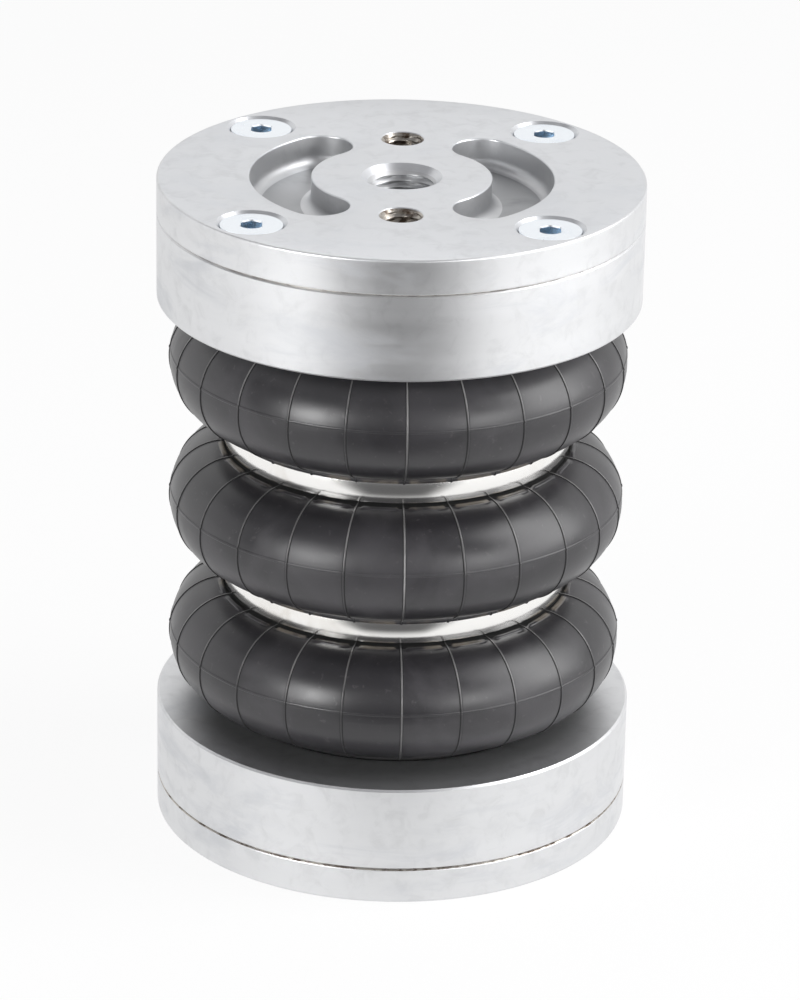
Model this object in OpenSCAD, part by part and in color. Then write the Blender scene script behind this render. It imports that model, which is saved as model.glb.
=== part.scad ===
// Air bellows actuator with three convolutions, in millimetres.
// The lower end rests on z = 0 and the air port is at the top. The upper end is the lower end turned over.

/* [End plates] */
// Outer diameter of the end plates and clamp rings
end_d = 94; // [86:1:120]
// Thickness of an end plate at its rim
plate_t = 7; // [5:0.5:12]
// Height of the spigot that an end plate carries inside the bellows
spigot_h = 8; // [5:0.5:10]
// Chamfer on the outer edges of the plates and rings
rim_chamfer = 0.4; // [0.2:0.1:0.8]

/* [Pockets in the end plates] */
// Radius of the circle that a pocket's middle line follows
pocket_mid_r = 23.3; // [20:0.1:26]
// Width of a pocket
pocket_w = 11.8; // [8:0.1:14]
// Angle from the middle of a pocket to the centre of its round end
pocket_half_angle = 48; // [30:1:52]
// Metal left under a pocket
pocket_floor = 1; // [0.8:0.1:3]
// Fillet round a pocket's floor
pocket_fillet = 2; // [0.5:0.1:3]
// Chamfer round a pocket's mouth
pocket_chamfer = 0.3; // [0.1:0.1:0.6]

/* [Mounting holes and air port] */
// Distance between the two mounting holes of an end plate
mount_pitch = 44.5; // [36:0.1:46]
// Core diameter of a mounting hole's thread
mount_core_d = 6.8; // [4:0.1:8]
// Depth of a mounting hole, without its drill point
mount_depth = 12; // [7:0.5:13]
// Diameter of a mounting hole's chamfered mouth
mount_mouth_d = 8.6; // [8:0.1:10]
// Core diameter of the air port's thread
port_core_d = 11.8; // [8:0.1:13]
// Diameter of the air port's chamfered mouth
port_mouth_d = 15.6; // [14:0.1:18]

/* [Clamp screws] */
// Diameter of a screw
screw_d = 6; // [4:0.5:6]
// Length of a screw, with its head
screw_len = 20; // [14:1:22]
// Diameter of the countersunk head
head_d = 12; // [9:0.5:12]
// Height of the straight rim of the head
head_land = 0.3; // [0.1:0.1:0.6]
// How far the head lies below the plate's face
head_sink = 0.35; // [0.1:0.05:0.6]
// Width across the flats of the hexagon socket
socket_af = 4; // [2.5:0.5:5]
// Depth of the hexagon socket
socket_depth = 2; // [1:0.1:2.4]
// Diameter of a screw's hole through an end plate
screw_hole_d = 6.6; // [6.2:0.1:7.5]
// Distance from a screw's axis to the rim of the plate
rim_land = 7.6; // [7.5:0.1:9]

/* [Clamp rings] */
// Height of a clamp ring
ring_h = 17; // [15:0.5:24]
// Metal between a screw's hole and the seat of the bead
bead_wall = 1.35; // [0.8:0.05:3]
// Radius of the lip that the bellows rolls over
lip_r = 3; // [1.5:0.1:3.6]

/* [Bellows] */
// Length of the bellows between the clamp rings, at rest
free_len = 84; // [66:1:110]
// Outer diameter of the convolutions
bellows_d = 89; // [80:0.5:110]
// Thickness of the rubber cover
cover_t = 1.2; // [0.8:0.1:1.8]
// Thickness of the cord ply
ply_t = 0.9; // [0.5:0.1:1.4]
// Thickness of the rubber liner
liner_t = 1.4; // [0.8:0.1:2]
// How far a flank stands clear of the hoop at its waist
flank_rise = 0.2; // [0.2:0.1:2]
// How far an end convolution stands clear of its clamp ring
end_rise = 1.5; // [1:0.1:3]
// Rubber under the cord ply in the bead
bead_base = 1.3; // [0.8:0.1:2]
// Rubber outside the turned-up cord ply in the bead
bead_side = 0.7; // [0.4:0.1:1.2]
// Rubber above the turned-up cord ply in the bead
bead_shoulder = 1.4; // [0.8:0.1:2]
// Height of the cord ply's turn-up above the bead wire's centre
turn_up = 2.2; // [1.8:0.1:3]

/* [Hoops and bead wires] */
// Outer diameter of a girdle hoop
hoop_d = 68.4; // [60:0.2:74]
// Thickness of the round rod that a girdle hoop is made from
hoop_t = 5.6; // [4:0.1:7]
// Depth turned off the outside of the rod for the hoop's crowned face
hoop_turned = 0.9; // [0.4:0.1:1.2]
// Radius of the crowned face, across the rod
hoop_crown_r = 9; // [6:0.5:20]
// Thickness of a bead wire
wire_t = 2.8; // [2:0.1:3.2]

/* [Fits] */
// Gap between rubber and metal
soft_gap = 0.2; // [0.1:0.05:0.3]
// Gap between the layers of the bellows
layer_gap = 0.1; // [0.05:0.05:0.2]
// Gap between a screw head and its countersink
seat_gap = 0.1; // [0.05:0.05:0.2]
// Gap between a screw and the thread that it fills
thread_gap = 0.05; // [0.02:0.01:0.1]

/* [Hidden] */
$fn = 96;
// Cuts run this far past the face that they open
past = 1;
// Largest turn between two points of an arc in a profile
arc_step = 6;
screw_count = 4;
first_screw_angle = 45;
drill_point_angle = 118;

aluminium = [0.82, 0.83, 0.85];
bright_zinc = [0.88, 0.91, 0.95];
polished_steel = [0.75, 0.75, 0.76];
wire_steel = [0.55, 0.5, 0.42];
black_rubber = [0.16, 0.16, 0.18];
liner_rubber = [0.1, 0.1, 0.11];
cord_fabric = [0.5, 0.45, 0.36];

// Heights of the lower end
ring_top = plate_t + ring_h;
height = 2 * ring_top + free_len;
middle = height / 2;

// The hoops' waists and the round noses share out the free length
groove_r = hoop_t / 2 + soft_gap;
waist_clear = groove_r + flank_rise;
pitch = (free_len - 2 * end_rise + 2 * waist_clear) / 3;
nose_r = pitch / 2 - waist_clear;
nose_mid_r = bellows_d / 2 - nose_r;
hoop_mid_r = hoop_d / 2 + hoop_turned - hoop_t / 2;
lower_hoop_z = middle - pitch / 2;
lower_nose_z = middle - pitch;

// Depth of each layer under the bellows' outer surface
ply_depth = cover_t + layer_gap;
liner_depth = ply_depth + ply_t + layer_gap;
wall_t = liner_depth + liner_t;

// The clamp end from the rim inwards: screws, bead seat, turned-up ply, bead wire, throat
screw_r = end_d / 2 - rim_land;
ring_hole_r = screw_d / 2 + thread_gap;
seat_r = screw_r - ring_hole_r - bead_wall;
bead_r = seat_r - soft_gap;
turn_up_r = bead_r - bead_side - layer_gap;
wire_cover_r = wire_t / 2 + layer_gap;
hook_r = wire_cover_r + ply_t;
wire_mid_r = turn_up_r - hook_r;
neck_r = wire_mid_r - wire_cover_r + ply_depth;
throat_r = neck_r + soft_gap;
spigot_r = neck_r - wall_t - soft_gap;

// Heights in the lower bead
bead_z = plate_t + soft_gap;
wire_z = bead_z + bead_base + layer_gap + hook_r;
turn_up_z = wire_z + turn_up;
shoulder_z = turn_up_z + layer_gap + bead_shoulder;
// The shoulder of the bead rises to the throat at 45 degrees
neck_z = shoulder_z + bead_r - neck_r;
lip_mid = [throat_r + lip_r, ring_top - lip_r];
lip_cover_r = lip_r + soft_gap;

// Screw and countersink, both with 45 degree cones
head_r = head_d / 2;
cone_h = head_r - screw_d / 2;
countersink_r = head_r + head_land + head_sink + seat_gap * sqrt(2);
screw_tip_z = head_sink + screw_len;
tip_chamfer = screw_d / 10;
blind_run_out = 1;

function heading(angle) = [cos(angle), sin(angle)];

function arc(centre, r, from, to) =
    let (steps = ceil(abs(to - from) / arc_step))
    [for (i = [0:steps]) centre + r * heading(from + (to - from) * i / steps)];

function reverse(points) = [for (i = [len(points) - 1:-1:0]) points[i]];

// Turn, at a waist, that leaves half a layer gap to the next convolution
function waist_turn(r) = asin(layer_gap / 2 / r);

// Direction in which the straight flank between a nose and a round faces.
// The round lies above the nose where side is 1, and below it where side is -1.
function flank_angle(nose, round, reach, side) =
    let (line = round - nose)
    atan2(line[1], line[0]) - side * acos(reach / norm(line));

// Line at a depth under the outer surface of the lower convolution, from the throat up to the waist
function end_line(depth) =
    let (nose = [nose_mid_r, lower_nose_z])
    let (hoop = [hoop_mid_r, lower_hoop_z])
    let (low = flank_angle(nose, lip_mid, nose_r + lip_cover_r, -1))
    let (high = flank_angle(nose, hoop, nose_r + groove_r, 1))
    concat(
        arc(lip_mid, -(lip_cover_r + depth), 0, low),
        arc(nose, nose_r - depth, low, high),
        arc(hoop, -(groove_r + depth), high, waist_turn(groove_r + depth))
    );

// Line at a depth under the outer surface of the middle convolution, from waist to waist
function middle_line(depth) =
    let (nose = [nose_mid_r, middle])
    let (rise = [0, pitch / 2])
    let (hoop = [hoop_mid_r, middle])
    let (high = flank_angle(nose, hoop + rise, nose_r + groove_r, 1))
    let (turn = waist_turn(groove_r + depth))
    concat(
        arc(hoop - rise, -(groove_r + depth), -turn, -high),
        arc(nose, nose_r - depth, -high, high),
        arc(hoop + rise, -(groove_r + depth), high, turn)
    );

// Turns over what is modelled at the lower end, for the upper end
module at_upper_end() {
    translate([0, 0, height]) mirror([0, 0, 1]) children();
}

module at_screw(i) {
    rotate(first_screw_angle + 360 / screw_count * (i - 1)) translate([screw_r, 0, 0]) children();
}

// Half of a pocket's section, from its middle line out to one wall
function pocket_half() =
    let (depth = plate_t - pocket_floor)
    let (side = pocket_w / 2)
    concat(
        [[0, -past], [side + pocket_chamfer + past, -past], [side, pocket_chamfer]],
        arc([side - pocket_fillet, depth - pocket_fillet], pocket_fillet, 0, 90),
        [[0, depth]]
    );

module pocket() {
    side = [for (p = pocket_half()) if (p[0] > 0) p];
    far_side = [for (p = reverse(side)) [-p[0], p[1]]];
    rotate(-pocket_half_angle) rotate_extrude(angle = 2 * pocket_half_angle) {
        translate([pocket_mid_r, 0]) polygon(concat(side, far_side));
    }
    // The round ends turn half a circle about their own axes, away from the sweep
    for (end = [-1, 1]) {
        rotate(end * pocket_half_angle) translate([pocket_mid_r, 0, 0]) rotate(90 - 90 * end) {
            rotate_extrude(angle = 180) polygon(pocket_half());
        }
    }
}

// Tapped hole seen from the outer face: chamfered mouth and core
module tapped_hole(core_d, mouth_d, depth) {
    mouth_h = (mouth_d - core_d) / 2;
    translate([0, 0, -past]) cylinder(d = core_d, h = depth + past);
    translate([0, 0, -past]) cylinder(r1 = mouth_d / 2 + past, r2 = core_d / 2, h = mouth_h + past);
}

module mounting_hole() {
    tapped_hole(mount_core_d, mount_mouth_d, mount_depth);
    translate([0, 0, mount_depth]) {
        cylinder(d1 = mount_core_d, d2 = 0, h = mount_core_d / 2 / tan(drill_point_angle / 2));
    }
}

module plate_screw_hole() {
    translate([0, 0, -past]) {
        cylinder(d = screw_hole_d, h = plate_t + 2 * past);
        cylinder(r1 = countersink_r + past, r2 = 0, h = countersink_r + past);
    }
}

// An end plate as it lies at the lower end, outer face down
module end_plate(with_port) {
    edge = end_d / 2;
    outline = [
        [0, 0], [edge - rim_chamfer, 0], [edge, rim_chamfer],
        [edge, plate_t - rim_chamfer], [edge - rim_chamfer, plate_t], [spigot_r, plate_t],
        [spigot_r, plate_t + spigot_h - rim_chamfer],
        [spigot_r - rim_chamfer, plate_t + spigot_h], [0, plate_t + spigot_h]
    ];
    difference() {
        rotate_extrude() polygon(outline);
        for (turn = [0, 180]) {
            rotate(turn) pocket();
        }
        for (side = [-1, 1]) {
            translate([0, side * mount_pitch / 2, 0]) mounting_hole();
        }
        for (i = [1:screw_count]) {
            at_screw(i) plate_screw_hole();
        }
        if (with_port) {
            tapped_hole(port_core_d, port_mouth_d, plate_t + spigot_h + past);
        }
    }
}

module lower_end_plate() {
    color(aluminium) end_plate(false);
}

module upper_end_plate() {
    color(aluminium) at_upper_end() end_plate(true);
}

// A clamp ring as it lies at the lower end: bead seat, shoulder, throat and rolled lip
module clamp_ring() {
    edge = end_d / 2;
    inside = concat(
        arc(lip_mid, lip_r, 90, 180),
        [[throat_r, neck_z + soft_gap], [seat_r, shoulder_z + soft_gap], [seat_r, plate_t]]
    );
    outside = [
        [edge - rim_chamfer, plate_t], [edge, plate_t + rim_chamfer],
        [edge, ring_top - rim_chamfer], [edge - rim_chamfer, ring_top]
    ];
    difference() {
        rotate_extrude() polygon(concat(inside, outside));
        for (i = [1:screw_count]) {
            at_screw(i) cylinder(r = ring_hole_r, h = screw_tip_z + blind_run_out);
        }
    }
}

module lower_clamp_ring() {
    color(aluminium) clamp_ring();
}

module upper_clamp_ring() {
    color(aluminium) at_upper_end() clamp_ring();
}

// A countersunk socket screw as it lies at the lower end, head down
module clamp_screw() {
    outline = [
        [0, 0], [head_r, 0], [head_r, head_land], [screw_d / 2, head_land + cone_h],
        [screw_d / 2, screw_len - tip_chamfer], [screw_d / 2 - tip_chamfer, screw_len], [0, screw_len]
    ];
    translate([0, 0, head_sink]) difference() {
        rotate_extrude() polygon(outline);
        translate([0, 0, -past]) cylinder(d = socket_af / cos(30), h = socket_depth + past, $fn = 6);
    }
}

module lower_clamp_screw(i) {
    color(bright_zinc) at_screw(i) clamp_screw();
}

module upper_clamp_screw(i) {
    color(bright_zinc) at_upper_end() at_screw(i) clamp_screw();
}

module bead_wire() {
    rotate_extrude() translate([wire_mid_r, wire_z]) circle(d = wire_t);
}

module lower_bead_wire() {
    color(wire_steel) bead_wire();
}

module upper_bead_wire() {
    color(wire_steel) at_upper_end() bead_wire();
}

// A hoop of round rod whose outside is turned to a low crown
module girdle_hoop(z) {
    rotate_extrude() intersection() {
        translate([hoop_mid_r, z]) circle(d = hoop_t);
        translate([hoop_d / 2 - hoop_crown_r, z]) circle(r = hoop_crown_r);
    }
}

module lower_girdle_hoop() {
    color(polished_steel) girdle_hoop(lower_hoop_z);
}

module upper_girdle_hoop() {
    color(polished_steel) girdle_hoop(lower_hoop_z + pitch);
}

// Rubber cover of an end convolution, with the bead moulded round the wire and the turned-up ply
module end_cover() {
    wire = [wire_mid_r, wire_z];
    ply_inner_r = wire_mid_r - hook_r;
    wire_turn = acos((wire_cover_r - layer_gap) / wire_cover_r);
    hook_turn = acos(hook_r / (hook_r + layer_gap));
    round_wire = arc(wire, wire_cover_r, 180 - wire_turn, wire_turn);
    round_turn_up = [
        [wire_mid_r + wire_cover_r - layer_gap, turn_up_z + layer_gap],
        [turn_up_r + layer_gap, turn_up_z + layer_gap]
    ];
    round_hook = arc(wire, hook_r + layer_gap, 0, hook_turn - 180);
    bead = [[ply_inner_r, bead_z], [bead_r, bead_z], [bead_r, shoulder_z], [neck_r, neck_z]];
    rotate_extrude() {
        polygon(concat(
            end_line(0), reverse(end_line(cover_t)), round_wire, round_turn_up, round_hook, bead
        ));
    }
}

// Cord ply of an end convolution, turned up round the bead wire
module end_cord_ply() {
    wire = [wire_mid_r, wire_z];
    hook_outside = arc(wire, hook_r, 180, 360);
    hook_end = [[turn_up_r, turn_up_z], [wire_mid_r + wire_cover_r, turn_up_z]];
    hook_inside = arc(wire, wire_cover_r, 360, 180);
    rotate_extrude() {
        polygon(concat(
            end_line(ply_depth), reverse(end_line(ply_depth + ply_t)), hook_outside, hook_end, hook_inside
        ));
    }
}

// Rubber liner of an end convolution, down to the end plate
module end_liner() {
    foot = [[neck_r - wall_t, bead_z], [neck_r - liner_depth, bead_z]];
    rotate_extrude() {
        polygon(concat(end_line(liner_depth), reverse(end_line(wall_t)), foot));
    }
}

// One layer of the middle convolution, between two depths under its outer surface
module middle_layer(from, to) {
    rotate_extrude() polygon(concat(middle_line(from), reverse(middle_line(to))));
}

module lower_cover() {
    color(black_rubber) end_cover();
}

module lower_cord_ply() {
    color(cord_fabric) end_cord_ply();
}

module lower_liner() {
    color(liner_rubber) end_liner();
}

module middle_cover() {
    color(black_rubber) middle_layer(0, cover_t);
}

module middle_cord_ply() {
    color(cord_fabric) middle_layer(ply_depth, ply_depth + ply_t);
}

module middle_liner() {
    color(liner_rubber) middle_layer(liner_depth, wall_t);
}

module upper_cover() {
    color(black_rubber) at_upper_end() end_cover();
}

module upper_cord_ply() {
    color(cord_fabric) at_upper_end() end_cord_ply();
}

module upper_liner() {
    color(liner_rubber) at_upper_end() end_liner();
}

lower_end_plate();
lower_clamp_ring();
lower_bead_wire();
lower_clamp_screw(1);  // lower_clamp_screw_1
lower_clamp_screw(2);  // lower_clamp_screw_2
lower_clamp_screw(3);  // lower_clamp_screw_3
lower_clamp_screw(4);  // lower_clamp_screw_4
lower_cover();
lower_cord_ply();
lower_liner();
lower_girdle_hoop();
middle_cover();
middle_cord_ply();
middle_liner();
upper_girdle_hoop();
upper_cover();
upper_cord_ply();
upper_liner();
upper_end_plate();
upper_clamp_ring();
upper_bead_wire();
upper_clamp_screw(1);  // upper_clamp_screw_1
upper_clamp_screw(2);  // upper_clamp_screw_2
upper_clamp_screw(3);  // upper_clamp_screw_3
upper_clamp_screw(4);  // upper_clamp_screw_4
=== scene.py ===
import math
from collections import namedtuple

import bmesh
import bpy
from mathutils import Matrix, Vector


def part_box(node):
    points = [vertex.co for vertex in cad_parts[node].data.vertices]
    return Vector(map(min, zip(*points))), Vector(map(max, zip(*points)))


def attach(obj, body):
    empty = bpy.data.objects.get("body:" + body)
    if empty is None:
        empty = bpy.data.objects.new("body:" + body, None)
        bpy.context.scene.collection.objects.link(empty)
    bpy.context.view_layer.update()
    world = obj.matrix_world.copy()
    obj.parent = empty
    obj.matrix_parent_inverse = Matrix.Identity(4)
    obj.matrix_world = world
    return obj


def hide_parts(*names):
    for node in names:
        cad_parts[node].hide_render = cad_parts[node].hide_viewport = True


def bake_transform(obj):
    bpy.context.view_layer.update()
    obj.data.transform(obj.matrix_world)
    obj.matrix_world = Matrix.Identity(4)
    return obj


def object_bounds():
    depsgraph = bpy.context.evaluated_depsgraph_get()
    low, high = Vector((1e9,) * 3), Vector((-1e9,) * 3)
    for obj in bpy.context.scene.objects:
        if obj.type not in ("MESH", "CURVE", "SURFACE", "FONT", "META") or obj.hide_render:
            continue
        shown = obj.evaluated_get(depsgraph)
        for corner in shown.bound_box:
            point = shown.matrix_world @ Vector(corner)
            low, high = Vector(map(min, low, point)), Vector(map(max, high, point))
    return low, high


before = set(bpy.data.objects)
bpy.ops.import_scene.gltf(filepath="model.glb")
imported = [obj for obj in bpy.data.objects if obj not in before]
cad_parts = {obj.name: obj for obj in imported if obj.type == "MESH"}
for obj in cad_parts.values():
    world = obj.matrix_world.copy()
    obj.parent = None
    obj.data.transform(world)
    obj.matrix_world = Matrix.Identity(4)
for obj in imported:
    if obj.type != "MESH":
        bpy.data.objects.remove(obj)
cad_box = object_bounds()

MM = 0.001
FULL_TURN = 2 * math.pi
RIGHT_ANGLE = math.pi / 2

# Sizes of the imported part
plate_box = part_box("lower_end_plate")
ring_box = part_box("lower_clamp_ring")
hoop_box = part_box("lower_girdle_hoop")
wire_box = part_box("lower_bead_wire")
screw_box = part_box("lower_clamp_screw_1")
HEIGHT = cad_box[1].z
MIDDLE_Z = HEIGHT / 2
END_R = plate_box[1].x
PLATE_T = ring_box[0].z
SPIGOT_END = plate_box[1].z
RING_TOP = ring_box[1].z
HOOP_T = hoop_box[1].z - hoop_box[0].z
HOOP_Z = hoop_box[0].z + HOOP_T / 2
HOOP_OUTER_R = hoop_box[1].x
WIRE_T = wire_box[1].z - wire_box[0].z
WIRE_Z = wire_box[0].z + WIRE_T / 2
WIRE_MID_R = wire_box[1].x - WIRE_T / 2
BELLOWS_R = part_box("middle_cover")[1].x
HEAD_SINK = screw_box[0].z
SCREW_TIP = screw_box[1].z

# Layers and bends of the bellows, as in the part's drawing
COVER_T = 1.2 * MM
PLY_T = 0.9 * MM
LINER_T = 1.4 * MM
LAYER_GAP = 0.1 * MM
SOFT_GAP = 0.2 * MM
FLANK_RISE = 0.2 * MM
HOOP_TURNED = 0.9 * MM
LIP_R = 3 * MM
BEAD_SIDE = 0.7 * MM
BEAD_SHOULDER = 1.4 * MM
TURN_UP = 2.2 * MM

PLY_DEPTH = COVER_T + LAYER_GAP
LINER_DEPTH = PLY_DEPTH + PLY_T + LAYER_GAP
WALL_T = LINER_DEPTH + LINER_T
HOOP_MID_R = HOOP_OUTER_R + HOOP_TURNED - HOOP_T / 2
GROOVE_R = HOOP_T / 2 + SOFT_GAP
PITCH = 2 * (MIDDLE_Z - HOOP_Z)
NOSE_R = PITCH / 2 - GROOVE_R - FLANK_RISE
NOSE_MID = Vector((BELLOWS_R - NOSE_R, 0))
LOWER_NOSE_Z = MIDDLE_Z - PITCH

# The bead's section, from the wire outwards
WIRE_COVER_R = WIRE_T / 2 + LAYER_GAP
HOOK_R = WIRE_COVER_R + PLY_T
TURN_UP_R = WIRE_MID_R + HOOK_R
BEAD_R = TURN_UP_R + LAYER_GAP + BEAD_SIDE
NECK_R = WIRE_MID_R - WIRE_COVER_R + PLY_DEPTH
BEAD_Z = PLATE_T + SOFT_GAP
TURN_UP_Z = WIRE_Z + TURN_UP
SHOULDER_Z = TURN_UP_Z + LAYER_GAP + BEAD_SHOULDER
NECK_Z = SHOULDER_Z + BEAD_R - NECK_R

# Ribs that the mould leaves on the rubber
RIB_COUNT = 24
RIB_SPACING = FULL_TURN / RIB_COUNT
FIRST_RIB = math.radians(-87.5)
RIB_H = 0.2 * MM
RIB_HALF_W = 0.27 * MM
# Shares of a rib's half width at which columns of points stand
RIB_COLUMNS = (-1.4, -1, -0.8, -0.4, 0.4, 0.8, 1, 1.4)
# The plain rubber between two ribs has this many parts
PANEL_PARTS = 4
# A rib's crest reaches to this share of its half width, and its foot lies between the next two
CREST_SHARE = 0.5
FOOT_START = 0.7
FOOT_END = 1.2
# The crest is pale where it faces up, as wear and a painted highlight, from the first of these angles on
# and fully from the second
WEAR_AND_HIGHLIGHT_FROM = math.radians(5)
WEAR_AND_HIGHLIGHT_FULL = math.radians(45)
# Two ribs, the one at the front and the one opposite, are painted pale all along as a highlight and fade
# out only underneath
HIGHLIT_RIBS = (0, RIB_COUNT // 2)
HIGHLIT_RIBS_FADE = math.radians(75)

# Above a hoop the rubber laps down over its edge
LAP_H = 1.3 * MM
LAP_HALF_W = 0.85 * MM
# Below a hoop runs a low band, which ends at one distance from a rib and has its full height from another
BAND_H = 0.3 * MM
BAND_HALF_W = 0.6 * MM
BAND_END = 1.1 * MM
BAND_FULL = 1.76 * MM
# The parting line of the mould lies a little above a convolution's widest line
PARTING_H = 0.11 * MM
PARTING_HALF_W = 0.3 * MM
PARTING_RISE = 1.8 * MM

# Mesh attributes of the cover: dust beside the hoops, wear and a painted highlight on the ribs, and rough
# rubber darkened by painted shade in the waists, in the clamps and along the foot of a rib
HOOP_DUST = "hoop_dust"
RIB_WEAR_AND_HIGHLIGHT = "rib_wear_and_highlight"
MATT_PAINTED_SHADE = "matt_painted_shade"

# A loop this close to a rounded edge keeps the face beside it flat
EDGE_HOLD = 0.08 * MM

# End plates
RIM_ROUND = 0.4 * MM
SPIGOT_R = NECK_R - WALL_T - SOFT_GAP
POCKET_MID_R = 23.3 * MM
POCKET_HALF_W = 5.9 * MM
POCKET_HALF_ANGLE = math.radians(48)
POCKET_DEPTH = 6 * MM
POCKET_FILLET = 2 * MM
POCKET_ROUND = 0.3 * MM
Thread = namedtuple("Thread", "core_r mouth_r groove pitch depth")
PORT = Thread(5.9 * MM, 7.8 * MM, 0.68 * MM, 1.337 * MM, SPIGOT_END)
MOUNT = Thread(3.4 * MM, 4.3 * MM, 0.6 * MM, 1.25 * MM, 12 * MM)
MOUNT_REACH = 22.25 * MM
DRILL_HALF_ANGLE = math.radians(59)

# Clamp screws
SCREW_COUNT = 4
SCREW_RING_R = 39.4 * MM
FIRST_SCREW = math.radians(45)
SCREW_R = 3 * MM
SCREW_HOLE_R = 3.3 * MM
COUNTERSINK_R = 6.79 * MM
HEAD_R = 6 * MM
HEAD_LAND = 0.3 * MM
HEAD_ROUND = 0.18 * MM
HEAD_ROUND_MIDDLE = 0.3 * HEAD_ROUND
SOCKET_AF = 4 * MM
SOCKET_DEPTH = 2 * MM
SOCKET_POINT = 0.5 * MM
SOCKET_CHAMFER = 0.2 * MM
SOCKET_MOUTH_R = 2.45 * MM
SCREW_PITCH = 1 * MM
SCREW_GROOVE = 0.5 * MM
# Share of a thread's pitch that stays flat at its crest
THREAD_FLAT = 0.15

# Camera of the photograph, and the point that it looks at
LOOK_AT = Vector((0, 0, MIDDLE_Z))
CAMERA_DISTANCE = 946 * MM
CAMERA_ELEVATION = math.radians(22.93)
CAMERA_ROLL = math.radians(1.087)
CAMERA_LENS = 172.97
CAMERA_SHIFT = (0.0041, -0.0068)


# Shader nodes

# Places of the colours in a Mix node: first, second and result
MIX_FIRST, MIX_SECOND, MIX_RESULT = 6, 7, 2


def add(tree, kind, inputs=None, **settings):
    """A node with its settings; an input takes a value or the socket that feeds it."""
    made = tree.nodes.new(kind)
    for name, value in settings.items():
        setattr(made, name, value)
    for name, value in (inputs or {}).items():
        if isinstance(value, bpy.types.NodeSocket):
            tree.links.new(value, made.inputs[name])
        else:
            made.inputs[name].default_value = value
    return made


def maths(tree, operation, *values):
    """Result of a Math node on values or sockets."""
    return add(tree, "ShaderNodeMath", dict(enumerate(values)), operation=operation).outputs["Value"]


def between(tree, share, low, high):
    """The value that lies from low to high as share goes from 0 to 1."""
    inputs = {"Value": share, "To Min": low, "To Max": high}
    return add(tree, "ShaderNodeMapRange", inputs).outputs["Result"]


def smooth_share(tree, value, start, full):
    """A share that goes smoothly from 0 to 1 as value goes from start to full."""
    inputs = {"Value": value, "From Min": start, "From Max": full}
    return add(tree, "ShaderNodeMapRange", inputs, interpolation_type="SMOOTHSTEP").outputs["Result"]


def tint(tree, share, first, second):
    """The colour that goes from first to second as share goes from 0 to 1."""
    mixed = add(tree, "ShaderNodeMix", {"Factor": share}, data_type="RGBA")
    for place, colour in ((MIX_FIRST, first), (MIX_SECOND, second)):
        if isinstance(colour, bpy.types.NodeSocket):
            tree.links.new(colour, mixed.inputs[place])
        else:
            mixed.inputs[place].default_value = (*colour, 1)
    return mixed.outputs[MIX_RESULT]


def piece_place(tree):
    """A surface point's place in its piece's own frame."""
    return add(tree, "ShaderNodeTexCoord").outputs["Object"]


def split_place(tree):
    """The same place as its X, Y and Z."""
    return add(tree, "ShaderNodeSeparateXYZ", {"Vector": piece_place(tree)}).outputs


def new_group(name, inputs, outputs):
    """An empty shader group with float inputs and outputs: the tree, its input node and its output node."""
    tree = bpy.data.node_groups.new(name, "ShaderNodeTree")
    for label, value in inputs.items():
        socket = tree.interface.new_socket(label, in_out="INPUT", socket_type="NodeSocketFloat")
        socket.default_value = value
    for label in outputs:
        tree.interface.new_socket(label, in_out="OUTPUT", socket_type="NodeSocketFloat")
    return tree, tree.nodes.new("NodeGroupInput"), tree.nodes.new("NodeGroupOutput")


def turning_marks_group():
    """Fine rings on a turned face and fine lines round a turned wall, with broader streaks among them."""
    tree, given, result = new_group(
        "turning marks", {"Fineness": 5000.0, "Streaks": 350.0}, ["Height", "Streak"]
    )
    split = split_place(tree)
    flat = add(tree, "ShaderNodeCombineXYZ", {"X": split["X"], "Y": split["Y"]})
    radius = add(tree, "ShaderNodeVectorMath", {0: flat.outputs["Vector"]}, operation="LENGTH")
    turned = add(tree, "ShaderNodeCombineXYZ", {"X": radius.outputs["Value"], "Y": split["Z"]})
    for scale, detail, output in (("Fineness", 2.0, "Height"), ("Streaks", 3.0, "Streak")):
        lines = add(
            tree, "ShaderNodeTexNoise",
            {"Vector": turned.outputs["Vector"], "Scale": given.outputs[scale], "Detail": detail},
            noise_dimensions="2D",
        )
        tree.links.new(lines.outputs["Fac"], result.inputs[output])
    return tree


def handling_marks_group():
    """Cloudy smudges of oil and fingers, drawn out level by Flatness: 0 on clean metal, 1 in a smudge."""
    tree, given, result = new_group(
        "handling marks", {"Size": 60.0, "Flatness": 1.0, "Start": 0.5, "Full": 0.75}, ["Smudge"]
    )
    split = split_place(tree)
    rise = maths(tree, "MULTIPLY", split["Z"], given.outputs["Flatness"])
    drawn_out = add(tree, "ShaderNodeCombineXYZ", {"X": split["X"], "Y": split["Y"], "Z": rise})
    cloud = add(
        tree, "ShaderNodeTexNoise",
        {"Vector": drawn_out.outputs["Vector"], "Scale": given.outputs["Size"], "Detail": 5.0,
         "Roughness": 0.6, "Distortion": 0.6},
    )
    smudge = smooth_share(tree, cloud.outputs["Fac"], given.outputs["Start"], given.outputs["Full"])
    tree.links.new(smudge, result.inputs["Smudge"])
    return tree


def fine_grain_group():
    """Fine pitted grain of a moulded or plated skin."""
    tree, given, result = new_group("fine grain", {"Fineness": 3500.0}, ["Height"])
    pits = add(
        tree, "ShaderNodeTexNoise",
        {"Vector": piece_place(tree), "Scale": given.outputs["Fineness"], "Detail": 4.0, "Roughness": 0.6},
    )
    tree.links.new(pits.outputs["Fac"], result.inputs["Height"])
    return tree


TURNING_MARKS = turning_marks_group()
HANDLING_MARKS = handling_marks_group()
FINE_GRAIN = fine_grain_group()


def turning(tree, fineness, streaks=350.0):
    """Outputs of the turning marks: the height of the fine lines and the broader streaks."""
    inputs = {"Fineness": fineness, "Streaks": streaks}
    return add(tree, "ShaderNodeGroup", inputs, node_tree=TURNING_MARKS).outputs


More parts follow.
